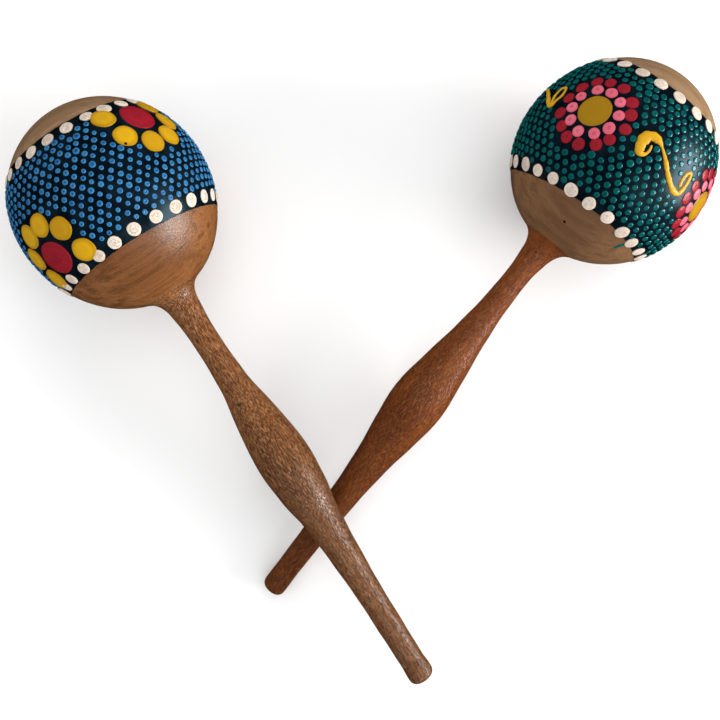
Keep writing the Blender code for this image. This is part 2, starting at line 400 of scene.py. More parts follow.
def curve_value(points, distance):
    """A smooth curve through (distance, value) points, flat at its peaks."""
    x, y = np.array(points).T
    chord = np.diff(y) / np.diff(x)
    before = np.concatenate([chord[:1], chord])
    after = np.concatenate([chord, chord[-1:]])
    total = before + after
    product = before * after
    slope = np.where(product > 0.0, 2.0 * product / np.where(total == 0.0, 1.0, total), 0.0)
    index = np.clip(np.searchsorted(x, distance) - 1, 0, len(x) - 2)
    run = x[index + 1] - x[index]
    part = np.clip((distance - x[index]) / run, 0.0, 1.0)
    rise = smooth_step(part)
    lead_in = part * (1.0 - part) ** 2
    lead_out = part * part * (part - 1.0)
    value = y[index] * (1.0 - rise) + y[index + 1] * rise
    return value + run * (lead_in * slope[index] + lead_out * slope[index + 1])


def bezier(first, second, third, last, steps):
    t = np.linspace(0.0, 1.0, steps)[:, None]
    first, second, third, last = map(np.array, (first, second, third, last))
    return ((1 - t)**3 * first + 3 * t * (1 - t)**2 * second
            + 3 * t * t * (1 - t) * third + t**3 * last)


def handle_outline(maraca):
    """(radius, height) from the shoulder's feather edge down to the butt."""
    outer = maraca.equator - PAINT
    edge = maraca.shoulder + 1.1

    def foot_height(radius):
        return -maraca.base * math.sqrt(1.0 - (radius / outer) ** 2)

    radii = np.linspace(TENON_RADIUS, edge, 9)
    shoulder = [(r, foot_height(r) - SEAM) for r in radii]
    lip = (edge - 0.05, foot_height(edge) - SEAM - 0.12)
    neck_start, neck_radius = maraca.stations[0]
    slope = (foot_height(edge) - foot_height(edge - 1.0))
    run = neck_start + lip[1]
    flare = bezier(lip, (edge - 2.2, lip[1] - 2.2 * slope - 0.15),
                   (neck_radius + 0.42, -neck_start + 0.50 * run), (neck_radius, -neck_start), 26)
    end = maraca.length - BUTT_ROUND
    curve = (*maraca.stations, (end, maraca.butt))
    distance = np.linspace(neck_start, end, 210)[1:]
    side = np.stack([curve_value(curve, distance), -distance], -1)
    round_angle = np.linspace(0.0, math.pi / 2.0, 9)[1:]
    butt = np.stack([
        maraca.butt - BUTT_ROUND + BUTT_ROUND * np.cos(round_angle),
        -(end + BUTT_ROUND * np.sin(round_angle)),
    ], -1)
    return shoulder, np.vstack([flare, side, butt])


def handle(maraca, rng):
    tenon_top = FOOT_THICKNESS - maraca.base - TENON_SHY
    shoulder, side = handle_outline(maraca)
    outline = np.vstack([
        [(0.0, tenon_top), (TENON_RADIUS - TENON_CHAMFER, tenon_top),
         (TENON_RADIUS, tenon_top - TENON_CHAMFER)],
        shoulder, side, [(0.0, -maraca.length)],
    ])
    phases = rng.uniform(0.0, math.tau, 4)
    start = maraca.stations[0][0]

    def wobble(radius, height, angle):
        """A hand-sanded handle isn't quite round, and its outline isn't quite even."""
        grip = smooth_step((-height - start + 1.0) / 8.0)
        fade = smooth_step((maraca.length - 4.0 + height) / 6.0)
        even = np.sin(height * 0.19 + phases[0]) + 0.7 * np.sin(height * 0.43 + phases[1])
        oval = np.cos(2.0 * angle + height * 0.02 + phases[2])
        flat = np.cos(3.0 * angle - height * 0.05 + phases[3])
        return grip * fade * (0.06 * even + 0.09 * oval + 0.05 * flat - 0.20)

    return turned_piece(maraca, outline, 96, False, wobble)


def handle_speck(maraca, distance, angle, radius, rng):
    """A dried spatter of paint on the handle, at a distance below the head's centre."""
    outline = handle_outline(maraca)[1]
    sides, rings = 14, 5
    grip = np.interp(distance, -outline[:, 1], outline[:, 0])
    out = np.array([math.sin(angle), math.cos(angle), 0.0])
    side = np.array([math.cos(angle), -math.sin(angle), 0.0])
    along = np.array([0.0, 0.0, 1.0])
    centre = np.array([sway(maraca, -distance), 0.0, -distance])
    turn = np.arange(sides) * math.tau / sides
    rim = 1.0 + waves(turn, 0.22, (2, 3, 5), rng)
    points = []
    faces = [face[::-1] for face in ring_faces(rings, sides, False)]
    for reach in np.linspace(0.25, 1.0, rings):
        across = radius * reach * rim * np.cos(turn)
        down = 1.25 * radius * reach * rim * np.sin(turn)
        height = 0.16 * math.sqrt(1.0 - reach**3) - 0.22 - across**2 / (2.0 * grip)
        ring = centre + out * (grip + height)[:, None]
        points.append(ring + side * across[:, None] + along * down[:, None])
    points.append(centre + out * (grip - 0.05))
    points.append(centre + out * (grip - 0.45))
    points = np.vstack(points)
    top = rings * sides
    faces += fan(top, 0, sides, True) + fan(top + 1, top - sides, sides)
    return Piece().add(points, faces, 0.5)


def band_edge(spec, longitude):
    """The latitude of one of the band's edges, or of a row of rim dots."""
    mean, tilt, sag, high = spec[:4]
    turn = np.radians(longitude - high)
    return mean + tilt * np.cos(turn) + sag * np.cos(2.0 * turn)


def paint_band(maraca, rng):
    """The black coat round the ball, with brushed edges and rounded lips."""
    sides, rows, under_rows = 384, 60, 14
    lon = np.arange(sides) * 360.0 / sides
    turn = np.radians(lon)
    low = band_edge(maraca.band_low, lon) + waves(turn, 0.30, (9, 17, 31, 52), rng)
    high = band_edge(maraca.band_high, lon) + waves(turn, 0.30, (8, 19, 33, 47), rng)
    lip = 0.012
    crowd = np.concatenate([np.linspace(0.0, lip, 6)[:-1],
                            np.linspace(lip, 1.0 - lip, rows - 10),
                            np.linspace(1.0 - lip, 1.0, 6)[1:]])
    edge = np.minimum(crowd, 1.0 - crowd) / lip
    coat = COAT * np.sqrt(1.0 - (1.0 - np.clip(edge, 0.0, 1.0)) ** 2) - 0.02
    lat = high[None, :] + (low - high)[None, :] * crowd[:, None]
    brushed = 0.012 * np.sin(lat * 2.1 + 2.0 * np.sin(turn * 5.0)[None, :])
    top = head_point(maraca, direction(lat, np.broadcast_to(lon, lat.shape)),
                     coat[:, None] + brushed * (edge > 1.0)[:, None])
    back = np.linspace(1.0, 0.0, under_rows)
    lat_under = high[None, :] + (low - high)[None, :] * back[:, None]
    under = head_point(maraca, direction(lat_under, np.broadcast_to(lon, lat_under.shape)),
                       np.full(lat_under.shape, -0.12))
    points = np.concatenate([top, under]).reshape(-1, 3)
    faces = [face[::-1] for face in ring_faces(len(top) + len(under), sides, True)]
    show_paint(Piece().add(points, faces), f"{maraca.name}_band", maraca, "band")


def disc(piece, maraca, centre, radii, spin, height, profile, rng, segments, uneven, lift):
    """One raised island of paint on the ball; tone is (chance, radius, chance)."""
    east, north = tangents(centre)
    rings = np.array([0.22, 0.42, 0.6, 0.75, 0.87, 0.95, 1.0])
    angle = np.arange(segments) * math.tau / segments
    outline = 1.0 + waves(angle, uneven, (2, 3, 5), rng)
    reach = rings[:, None] * outline[None, :]
    a = radii[0] * reach * np.cos(angle)
    b = radii[1] * reach * np.sin(angle)
    cosine = math.cos(spin)
    sine = math.sin(spin)
    to_east = (a * cosine - b * sine)[..., None] * east
    to_north = (a * sine + b * cosine)[..., None] * north
    way = centre + (to_east + to_north) / maraca.equator
    way /= np.linalg.norm(way, axis=-1)[..., None]
    shape = profile(rings)[:, None] * np.ones(segments)[None, :]
    dents = waves(angle, 0.10, (3, 5), rng)[None, :] * rings[:, None]
    raised = lift + height * shape * (1.0 + dents)
    raised[-1] = 0.02  # the rim ends inside the coat
    points = head_point(maraca, way, raised).reshape(-1, 3)
    top = head_point(maraca, centre[None, :], np.array([lift + height * profile(0.0)]))
    under = head_point(maraca, centre[None, :], np.array([-BED]))
    points = np.vstack([points, top, under])
    hub = len(rings) * segments
    faces = [face[::-1] for face in ring_faces(len(rings), segments, False)]
    faces += fan(hub, 0, segments, True) + fan(hub + 1, hub - segments, segments)
    tone = np.zeros((len(points), 3))
    tone[:, 0] = rng.uniform()
    tone[:, 2] = rng.uniform()
    tone[:hub, 1] = np.repeat(rings, segments)
    tone[hub + 1, 1] = 1.0
    piece.add(points, faces, tone)


def dome(radius, power):
    return np.sqrt(np.clip(1.0 - radius**power, 0.0, 1.0))


def crater(radius):
    """A drop of paint that dried with a dimple in its middle."""
    return dome(radius, 3) * (1.0 - 0.55 * np.exp(-((radius / 0.38) ** 2)))


def bead(radius):
    """A full drop with only a hint of a dimple."""
    return dome(radius, 2.6) * (1.0 - 0.22 * np.exp(-((radius / 0.3) ** 2)))


def button(radius):
    """A broad drop with a flat top and a round edge."""
    return dome(radius, 5) * (1.0 - 0.12 * np.cos(radius * 9.0))


# The shape of the small dots on each head.
BLUE.drop = crater
GREEN.drop = bead


# ---- decoration
def offset_way(maraca, latitude, longitude, angle, distance):
    """The unit vector a distance away over the ball; angle 0 is north."""
    centre = direction(latitude, longitude)
    east, north = tangents(centre)
    turn = distance / maraca.equator
    side = east * math.sin(angle) + north * math.cos(angle)
    return centre * math.cos(turn) + side * math.sin(turn)


def rim_dots(maraca, rng):
    """Cream dots just inside both edges of the band: (unit vector, radius)."""
    dots = []
    for spec in (maraca.rim_low, maraca.rim_high):
        count, phase = spec[4:]
        for number in range(count):
            lon = phase + 360.0 * number / count + rng.uniform(-0.9, 0.9)
            lat = band_edge(spec, lon) + rng.uniform(-0.35, 0.35)
            dots.append((direction(lat, lon), maraca.rim_radius * rng.uniform(0.92, 1.06)))
    return dots


def blue_flowers(maraca, rng):
    """Crimson hearts and the yellow petals that fit beside the band's edge."""
    hearts, petals = [], []
    for lat, lon, bearings in BLUE_FLOWERS:
        hearts.append((direction(lat, lon), BLUE_HEART * rng.uniform(0.98, 1.03)))
        for bearing in bearings:
            distance = PETAL_REACH * rng.uniform(0.98, 1.03)
            way = offset_way(maraca, lat, lon, math.radians(bearing), distance)
            petals.append((way, PETAL * rng.uniform(0.96, 1.05)))
    return hearts, petals


def green_flowers(maraca, rng):
    """Mustard hearts, a ring of pink drops round each and one of crimson drops."""
    hearts, inner, outer = [], [], []
    for number, (lat, lon) in enumerate(GREEN_FLOWERS):
        hearts.append((direction(lat, lon), GREEN_HEART * rng.uniform(0.98, 1.03)))
        for drops, ring in ((inner, PINK_RING), (outer, CRIMSON_RING)):
            count, distance, size, first = ring
            phase = first + RING_TURN * number
            for drop in range(count):
                angle = phase + math.tau * drop / count + rng.uniform(-0.05, 0.05)
                way = offset_way(maraca, lat, lon, angle, distance * rng.uniform(0.97, 1.03))
                drops.append((way, size * rng.uniform(0.93, 1.07)))
    return hearts, inner, outer


def squiggle_path(points, longitude_shift, steps=9):
    """A smooth brush stroke through its points: unit vectors and half widths."""
    rows = np.array(points, float)
    rows[:, 1] += longitude_shift
    rows = np.vstack([2.0 * rows[0] - rows[1], rows, 2.0 * rows[-1] - rows[-2]])
    path = []
    for index in range(1, len(rows) - 2):
        before, start, end, after = rows[index - 1: index + 3]
        for step in range(steps):
            t = step / steps
            path.append(0.5 * (2.0 * start + (end - before) * t
                               + (2.0 * before - 5.0 * start + 4.0 * end - after) * t**2
                               + (3.0 * start - before - 3.0 * end + after) * t**3))
    path.append(rows[-2])
    path = np.array(path)
    return direction(path[:, 0], path[:, 1]), path[:, 2]


def stroke(piece, maraca, ways, widths, rng, height):
    """A thick line of paint from a nozzle, round on top and rounded at both ends."""
    across = 12
    count = len(ways)
    forward = np.gradient(ways, axis=0)
    forward /= np.linalg.norm(forward, axis=1)[:, None]
    side = np.cross(forward, ways)
    run = np.concatenate([[0.0], np.cumsum(np.linalg.norm(np.diff(ways, axis=0), axis=1))])
    run *= maraca.equator
    from_end = np.minimum(run, run[-1] - run)
    taper = np.sqrt(np.clip(1.0 - (1.0 - np.clip(from_end / widths, 0.05, 1.0)) ** 2, 0.02, 1.0))
    width = widths * taper * (1.0 + 0.10 * np.sin(run * 1.3) + 0.06 * np.sin(run * 3.1 + 1.0))
    angle = np.linspace(math.pi, 0.0, across)
    offset = np.cos(angle)
    rise = np.sin(angle) ** 0.8
    thickness = height * np.clip(width / 1.1, 0.45, 1.15)
    aside = side[:, None, :] * (width[:, None] * offset)[..., None]
    way = ways[:, None, :] + aside / maraca.equator
    way /= np.linalg.norm(way, axis=-1)[..., None]
    lift = 0.06 + thickness[:, None] * rise[None, :]
    lift[:, [0, -1]] = 0.0
    top = head_point(maraca, way, lift)
    under = head_point(maraca, ways[:, None, :], np.full((count, 1), -BED))
    ring = np.concatenate([top, under], axis=1)
    sides = across + 1
    points = ring.reshape(-1, 3)
    faces = [face[::-1] for face in ring_faces(count, sides, False)]
    faces.append(tuple(reversed(range(sides))))
    faces.append(tuple(range((count - 1) * sides, count * sides)))
    tone = np.zeros((len(points), 3))
    tone[:, 0] = rng.uniform()
    tone[:, 1] = np.tile(np.append(np.abs(offset), 1.0), count)
    piece.add(points, faces, tone)


def small_dots(maraca, keep_out, rng):
    """Rows of small drops over the band, leaning like a screw thread.

    keep_out is (unit vectors, radii in mm) of everything painted first.
    """
    size = maraca.equator
    pitch = maraca.pitch
    lat_step = math.degrees(pitch / size) * 0.80
    lon_step = math.degrees(pitch / size) / 0.80
    zone_ways, zone_radii = keep_out
    zone_radii = zone_radii + maraca.dot_radius[1]
    columns = int(round(360.0 / lon_step))

    def inside(ways):
        lat = np.degrees(np.arcsin(np.clip(ways[:, 2], -1.0, 1.0)))
        lon = np.degrees(np.arctan2(ways[:, 0], ways[:, 1]))
        low = band_edge(maraca.rim_low, lon) + 3.0
        high = band_edge(maraca.rim_high, lon) - 3.0
        clear = np.arccos(np.clip(ways @ zone_ways.T, -1.0, 1.0)) * size > zone_radii
        return (lat > low) & (lat < high) & clear.all(axis=1)

    def pushed(ways, others, reach, share):
        """The dots moved off any others that are nearer than a reach in mm."""
        gap = ways[:, None, :] - others[None, :, :]
        distance = np.linalg.norm(gap, axis=2) * size
        distance[distance == 0.0] = math.inf
        near = np.clip(reach - distance, 0.0, None)
        push = (gap / (distance[..., None] / size)) * near[..., None]
        return ways + push.sum(axis=1) * share / size

    def spread(ways, rounds):
        for _ in range(rounds):
            ways = pushed(ways, ways, pitch * 1.02, 0.18)
            ways = pushed(ways, zone_ways, zone_radii + 0.15, 0.5)
            ways /= np.linalg.norm(ways, axis=1)[:, None]
        return ways

    def joined(kept, candidates, reach):
        """The dots, and each candidate that is a reach in mm clear of all before it."""
        kept = list(kept)
        for way in candidates:
            if not kept or np.min(np.linalg.norm(np.array(kept) - way, axis=1)) * size > reach:
                kept.append(way)
        return np.array(kept)

    rows = np.arange(-44.0, 54.0, lat_step)
    lat, column = np.meshgrid(rows, np.arange(columns))
    lon = column * 360.0 / columns - maraca.column_lean * lat
    lattice = direction(lat, lon).reshape(-1, 3)
    ways = spread(joined([], lattice[inside(lattice)], pitch * 0.82), 25)
    extra = direction(np.degrees(np.arcsin(rng.uniform(-0.65, 0.78, 6000))),
                      rng.uniform(-180.0, 180.0, 6000))
    ways = spread(joined(ways, extra[inside(extra)], pitch * 0.93), 12)
    return ways + rng.normal(0.0, 0.15 / size, ways.shape)


def show_paint(piece, name, maraca, paint):
    """Put a painted piece on its maraca's head."""
    piece.build(name, maraca, MATERIALS[paint], f"{maraca.name}_maraca",
                f"{maraca.name}_painted_head")


def paint_small_dots(maraca, ways, rng):
    piece = Piece()
    smallest, largest = maraca.dot_radius
    for way in ways:
        way = way / np.linalg.norm(way)
        radius = rng.uniform(smallest, largest)
        if rng.uniform() < 0.06:
            radius *= 1.18
        radii = (radius * rng.uniform(0.93, 1.05), radius)
        disc(piece, maraca, way, radii, rng.uniform(0.0, math.tau), rng.uniform(0.30, 0.44),
             maraca.drop, rng, segments=14, uneven=0.07, lift=0.10)
    show_paint(piece, f"{maraca.name}_small_dots", maraca, maraca.name)


def paint_drops(maraca, dots, rng, name):
    """One piece of broad drops, from (unit vector, radius) pairs."""
    piece = Piece()
    paint, height, segments, uneven, lift = BROAD_DROPS[name]
    for way, radius in dots:
        radii = (radius * rng.uniform(0.95, 1.05), radius * rng.uniform(0.95, 1.05))
        disc(piece, maraca, way, radii, rng.uniform(0.0, math.tau), height, button, rng,
             segments, uneven, lift)
    show_paint(piece, name, maraca, paint)


# ---- materials
def srgb(red, green, blue):
    """A colour given in 0-255 sRGB, as Blender's linear numbers."""
    def linear(value):
        value /= 255.0
        return value / 12.92 if value <= 0.04045 else ((value + 0.055) / 1.055) ** 2.4
    return (linear(red), linear(green), linear(blue), 1.0)


class Shader:
    """A material's node tree, with short ways to add the nodes used here."""

    def __init__(self, name, roughness=0.5, specular=0.5, glint=PLAIN_GLINT):
        self.material = bpy.data.materials.new(name)
        self.material.use_nodes = True
        self.tree = self.material.node_tree
        self.surface = self.tree.nodes["Principled BSDF"]
        self.fill(self.surface, {"Roughness": roughness, "Specular IOR Level": specular,
                                 "Specular Tint": glint})

    def fill(self, node, sources):
        """Give sockets plain values, or join other nodes' outputs to them."""
        for socket, source in sources.items():
            if hasattr(source, "is_output"):
                self.tree.links.new(source, node.inputs[socket])
            else:
                node.inputs[socket].default_value = source

    def add(self, kind, sources):
        node = self.tree.nodes.new(f"ShaderNode{kind}")
        self.fill(node, sources)
        return node

    def attribute(self, name):
        node = self.add("Attribute", {})
        node.attribute_name = name
        return node.outputs["Vector"]

    def split(self, vector):
        node = self.add("SeparateXYZ", {"Vector": vector})
        return node.outputs["X"], node.outputs["Y"], node.outputs["Z"]

    def stretched(self, vector, scale, shift=(0.0, 0.0, 0.0)):
        node = self.add("Mapping", {"Vector": vector, "Scale": scale, "Location": shift})
        return node.outputs["Vector"]

    def noise(self, vector, scale, detail=3.0, rough=0.6, distortion=0.0):
        node = self.add("TexNoise", {"Vector": vector, "Scale": scale, "Detail": detail,
                                     "Roughness": rough, "Distortion": distortion})
        return node.outputs["Fac"]

    def grain(self, local, fibre, stretch, across, shift=0.0, detail=3.0, rough=0.6,
              distortion=0.0):
        """Long streaks: a noise in coordinates that are squeezed along the fibre."""
        scale = [across] * 3
        scale["XYZ".index(fibre)] = stretch
        squeezed = self.stretched(local, scale, (shift, 0.6 * shift, 0.3 * shift))
        return self.noise(squeezed, 1.0, detail, rough, distortion)

    def ramp(self, value, low, high, start=0.0, end=1.0):
        node = self.add("MapRange", {"Value": value, "From Min": low, "From Max": high,
                                     "To Min": start, "To Max": end})
        node.interpolation_type = "SMOOTHSTEP"
        return node.outputs["Result"]

    def mix(self, factor, first, second, mode="MIX"):
        node = self.add("Mix", {})
        node.data_type = "RGBA"
        node.blend_type = mode
        # By number: the names are shared by the number, vector and colour sockets.
        self.fill(node, {0: factor, 6: first, 7: second})
        return node.outputs[2]

    def tint(self, colour, other, where, low, high, amount=1.0):
        """Another colour laid over the first, where a value is high."""
        return self.mix(self.ramp(where, low, high, 0.0, amount), colour, other)

    def math(self, operation, first, second=0.0):
        node = self.add("Math", {0: first, 1: second})
        node.operation = operation
        return node.outputs[0]

    def bump(self, height, depth_mm):
        node = self.add("Bump", {"Height": height, "Distance": depth_mm * MM, "Strength": 1.0})
        return node.outputs["Normal"]

    def finish(self, *sources):
        """Join the colour, then any roughness and normal, to the surface."""
        self.fill(self.surface, dict(zip(("Base Color", "Roughness", "Normal"), sources)))
        return self.material


def head_wood(name, colours, shine):
    """Close, even wood: soft bands and fine lines across the head, lightly varnished."""
    light, middle, dark, line = (srgb(*colour) for colour in colours)
    shader = Shader(name, specular=0.6)
    local = shader.attribute("local")
    broad = shader.grain(local, "X", 0.006, 0.05, rough=0.5, distortion=0.4)
    bands = shader.grain(local, "X", 0.010, 0.34, 7.0, detail=4.0, distortion=0.3)
    lines = shader.grain(local, "X", 0.035, 1.5, 3.0)
    pores = shader.grain(local, "X", 0.9, 2.4)
    colour = shader.tint(middle, light, broad, 0.36, 0.62)
    colour = shader.tint(colour, dark, bands, 0.44, 0.68, 0.75)
    colour = shader.tint(colour, line, lines, 0.44, 0.70, 0.55)
    colour = shader.tint(colour, line, pores, 0.56, 0.72, 0.38)
    rough = shader.ramp(pores, 0.3, 0.75, shine - 0.05, shine + 0.12)
    relief = shader.math("ADD", shader.math("MULTIPLY", lines, 0.4), pores)
    return shader.finish(colour, rough, shader.bump(relief, 0.10))


def handle_wood(name, colours, fleck_amount, pore_amount, dark_butt_and_neck_highlight):
    """Coarse wood: short open pores and pale flecks lying along the handle.

    The last argument gives (height, factor) where the wood is darkest, towards the butt, then
    (height, factor) where it is brightest, towards the neck: a painted highlight.
    """
    light, middle, dark, pore = (srgb(*colour) for colour in colours)
    shader = Shader(name)
    local = shader.attribute("local")
    broad = shader.grain(local, "Z", 0.018, 0.12, rough=0.55, distortion=0.8)
    streaks = shader.grain(local, "Z", 0.07, 0.85, 5.0, distortion=0.9)
    flecks = shader.grain(local, "Z", 0.36, 3.3, 11.0, 2.0, 0.7, 0.2)
    pores = shader.grain(local, "Z", 0.40, 3.6, 2.0, 2.0, 0.7, 0.2)
    fine = shader.grain(local, "Z", 1.4, 4.2, detail=2.0, rough=0.5)
    dents = shader.grain(local, "Z", 0.7, 1.7, 4.0, detail=2.0)
    colour = shader.tint(middle, dark, broad, 0.35, 0.62)
    colour = shader.tint(colour, dark, streaks, 0.50, 0.70, 0.5)
    colour = shader.tint(colour, light, flecks, 0.49, 0.60, fleck_amount)
    pits = shader.ramp(pores, 0.50, 0.60)
    colour = shader.mix(shader.math("MULTIPLY", pits, pore_amount), colour, pore)
    colour = shader.tint(colour, pore, fine, 0.5, 0.75, 0.35)
    # Darker towards the butt, and brighter towards the neck as a painted highlight.
    (darkest_height, darkest), (brightest_height, neck_highlight_gain) = dark_butt_and_neck_highlight
    shade = shader.ramp(shader.split(local)[2], darkest_height, brightest_height, darkest, neck_highlight_gain)
    colour = shader.mix(1.0, colour, shade, "MULTIPLY")
    rough = shader.ramp(fine, 0.3, 0.75, 0.22, 0.38)
    relief = shader.math("SUBTRACT", shader.math("MULTIPLY", dents, 1.6), pits)
    return shader.finish(colour, rough, shader.bump(relief, 0.13))


def band_paint(name, colours):
    """Black enamel, brushed on, tinted blue as a painted sheen, with paler blue-grey patches that
    are partly dust and partly painted sheen.
    """
    base, dust_and_sheen = (srgb(*colour) for colour in colours)
    shader = Shader(name, specular=0.25, glint=COOL_GLINT)
    local = shader.attribute("local")
    dust_and_sheen_patches = shader.noise(local, 0.14, 4.0)
    brushed = shader.noise(shader.stretched(local, (0.35, 0.35, 2.6)), 1.0)
    # Paler blue-grey patches: partly dust, partly a painted sheen.
    colour = shader.tint(base, dust_and_sheen, dust_and_sheen_patches, 0.35, 0.70, 0.8)
    rough = shader.ramp(dust_and_sheen_patches, 0.3, 0.8, 0.24, 0.38)
    return shader.finish(colour, rough, shader.bump(brushed, 0.03))


def drop_paint(name, colours, heart_size=0.45, heart_amount=0.8, roughness=0.3,
               specular=0.4, wrinkle=0.08, glint=PLAIN_GLINT):
    """Thick drops: each has its own shade, and a dimple and a rim of other shades."""
    rim, body, heart = (srgb(*colour) for colour in colours)
    shader = Shader(name, specular=specular, glint=glint)
    local = shader.attribute("local")
    chance, radius, second = shader.split(shader.attribute("tone"))
    mottle = shader.noise(local, 1.4)
    fine = shader.noise(local, 5.0)
    colour = shader.tint(body, rim, chance, 0.0, 1.0, 0.8)
    colour = shader.tint(colour, rim, radius, 0.55, 0.92, 0.85)
    spread = shader.math("MULTIPLY", shader.math("SUBTRACT", mottle, 0.5), 0.5)
    dimple = shader.ramp(shader.math("ADD", radius, spread), heart_size * 0.35, heart_size,
                         heart_amount, 0.0)
    amount = shader.math("MULTIPLY", dimple, shader.ramp(second, 0.05, 0.6, 0.25, 1.0))
    colour = shader.mix(amount, colour, heart)
    colour = shader.tint(colour, heart, fine, 0.50, 0.80, 0.10)
    rough = shader.ramp(mottle, 0.3, 0.8, roughness - 0.06, roughness + 0.12)
    return shader.finish(colour, rough, shader.bump(mottle, wrinkle))


def cream_paint(name):
    """Thick cream paint that shrank into wrinkles as it dried, with painted shade in its creases
    and at its edge.
    """
    shader = Shader(name, specular=0.3)
    local = shader.attribute("local")
    chance, radius, _ = shader.split(shader.attribute("tone"))
    folds = shader.noise(local, 0.95, distortion=1.2)
    crease_depth_and_shade = shader.ramp(
        shader.math("ABSOLUTE", shader.math("SUBTRACT", folds, 0.5)), 0.0, 0.05, 1.0, 0.0)
    crease_depth_and_shade = shader.math("MULTIPLY", crease_depth_and_shade, shader.ramp(radius, 0.55, 0.95, 1.0, 0.25))
    colour = shader.tint(srgb(226, 211, 196), srgb(208, 191, 175), chance, 0.0, 1.0)
    # A darker grey-brown edge, partly outline and partly painted shade; the creases get painted
    # shade.
    colour = shader.tint(colour, srgb(176, 158, 138), radius, 0.8, 1.0, 0.45)
    colour = shader.mix(shader.math("MULTIPLY", crease_depth_and_shade, 0.38), colour, srgb(132, 112, 92))
    relief = shader.math("SUBTRACT", shader.math("MULTIPLY", folds, 1.2), crease_depth_and_shade)
    rough = shader.ramp(folds, 0.3, 0.8, 0.4, 0.6)
    return shader.finish(colour, rough, shader.bump(relief, 0.09))


def seed_skin(name):
    """A dry brown husk, mottled and finely pitted."""
    shader = Shader(name)
    local = shader.attribute("local")
    mottle = shader.noise(local, 0.9, 4.0)
    fine = shader.noise(local, 3.5)
    colour = shader.tint(srgb(120, 78, 42), srgb(168, 120, 72), mottle, 0.4, 0.7)
    colour = shader.tint(colour, srgb(74, 44, 24), fine, 0.5, 0.8, 0.5)
    rough = shader.ramp(fine, 0.3, 0.8, 0.4, 0.6)
    return shader.finish(colour, rough, shader.bump(fine, 0.06))


def floor_paint(name):
    """Plain matt white, very slightly uneven."""
    shader = Shader(name, roughness=0.85)
    local = shader.add("TexCoord", {}).outputs["Object"]
    patch = shader.noise(local, 3.0, rough=0.5)
    dull = (0.91, 0.91, 0.91, 1.0)
    pale = (0.93, 0.93, 0.93, 1.0)
    return shader.finish(shader.tint(dull, pale, patch, 0.3, 0.7))


# ---- building
def place(maraca):
    """The maraca's own frame in the world, from its seeds' joint."""
    joint = next(j for j in frame["joints"] if j["name"] == f"{maraca.name}_upper_seeds_roll")
    up_axis = Vector(joint["axis"]).normalized()
    away = (Vector((0.0, 0.0, 1.0)) - up_axis * up_axis.z).normalized()
    level = away.cross(up_axis)
    matrix = Matrix((level, away, up_axis)).transposed().to_4x4()
    matrix.translation = Vector(joint["pos_m"])
    maraca.matrix = matrix


def build_wood(maraca, rng):
    """The two half shells and the handle, in place of the plain ones."""
    name = maraca.name
    for piece, look, wood, slot, node in (
            (upper_shell(maraca), "crown_wood", "crown", "painted_head", "upper_shell"),
            (lower_shell(maraca), "foot_wood", "foot", "painted_head", "lower_shell"),
            (handle(maraca, rng), "turned_handle", "handle", "handle_wood", "handle")):
        piece.build(f"{name}_{look}", maraca, MATERIALS[f"{name}_{wood}"],
                    f"{name}_maraca", f"{name}_{slot}", [f"{name}_{node}"])


def gather(*groups):
    """One (unit vectors, radii) pair from lists of painted dots."""
    dots = [dot for group in groups for dot in group]
    return np.array([way for way, _ in dots]), np.array([radius for _, radius in dots])


def covers(maraca, covered, dot):
    """Whether a dot would lie wholly under bigger ones."""
    distance = np.linalg.norm(covered[0] - dot[0], axis=1) * maraca.equator
    return bool(np.any(distance < covered[1] * 0.75))


def build_blue(rng):
    """The blue maraca's paint, in the order that its random draws come in."""
    maraca = BLUE
    rims = rim_dots(maraca, rng)
    hearts, petals = blue_flowers(maraca, rng)
    paint_band(maraca, rng)
    covered = gather(petals, hearts)
    shown = [dot for dot in rims if not covers(maraca, covered, dot)]
    paint_drops(maraca, shown, rng, "blue_rim_dots")
    paint_drops(maraca, petals, rng, "blue_petals")
    paint_drops(maraca, hearts, rng, "blue_flower_hearts")
    clearings = [(way, BLUE_CLEARING) for way, _ in hearts]
    ways = small_dots(maraca, gather(shown, petals, clearings), rng)
    paint_small_dots(maraca, ways, rng)
    for number, (distance, angle, radius, paint) in enumerate(BLUE_HANDLE_SPECKS):
        speck = handle_speck(maraca, distance, angle, radius, rng)
        speck.build(f"blue_handle_speck_{number + 1}", maraca, MATERIALS[paint],
                    "blue_maraca", "blue_handle_wood")
    paint_drops(maraca, [(direction(*PETAL_NICK), NICK_RADIUS)], rng, "blue_petal_nick")


def build_green(rng):
    """The green maraca's paint, in the order that its random draws come in."""
    maraca = GREEN
    rims = rim_dots(maraca, rng)
    hearts, inner, outer = green_flowers(maraca, rng)
    strokes = [squiggle_path(points, shift) for points, shift in (
        (LONG_SQUIGGLE, 0.0), (LONG_SQUIGGLE, 181.0),
        (SHORT_SQUIGGLE, 0.0), (SHORT_SQUIGGLE, -168.0))]
    paint_band(maraca, rng)
    paint_drops(maraca, rims, rng, "green_rim_dots")
    paint_drops(maraca, hearts, rng, "green_flower_hearts")
    paint_drops(maraca, inner, rng, "green_pink_drops")
    paint_drops(maraca, outer, rng, "green_crimson_drops")
    lines = Piece()
    for number, (ways, widths) in enumerate(strokes):
        stroke(lines, maraca, ways, widths, rng, THIN_LINE if number % 2 else THICK_LINE)
    show_paint(lines, "green_squiggles", maraca, "squiggle")
    smear = Piece()
    stroke(smear, maraca, *squiggle_path(SMEAR, 0.0), rng, SMEAR_HEIGHT)
    show_paint(smear, "green_smear", maraca, "green")
    paint_drops(maraca, [(direction(*FLECK), FLECK_RADIUS)], rng, "green_foot_fleck")
    line_dots = [(way, width) for ways, widths in strokes for way, width in zip(ways, widths)]
    clearings = [(way, GREEN_CLEARING) for way, _ in hearts]
    ways = small_dots(maraca, gather(rims, clearings, outer, line_dots[::3]), rng)
    paint_small_dots(maraca, ways, rng)


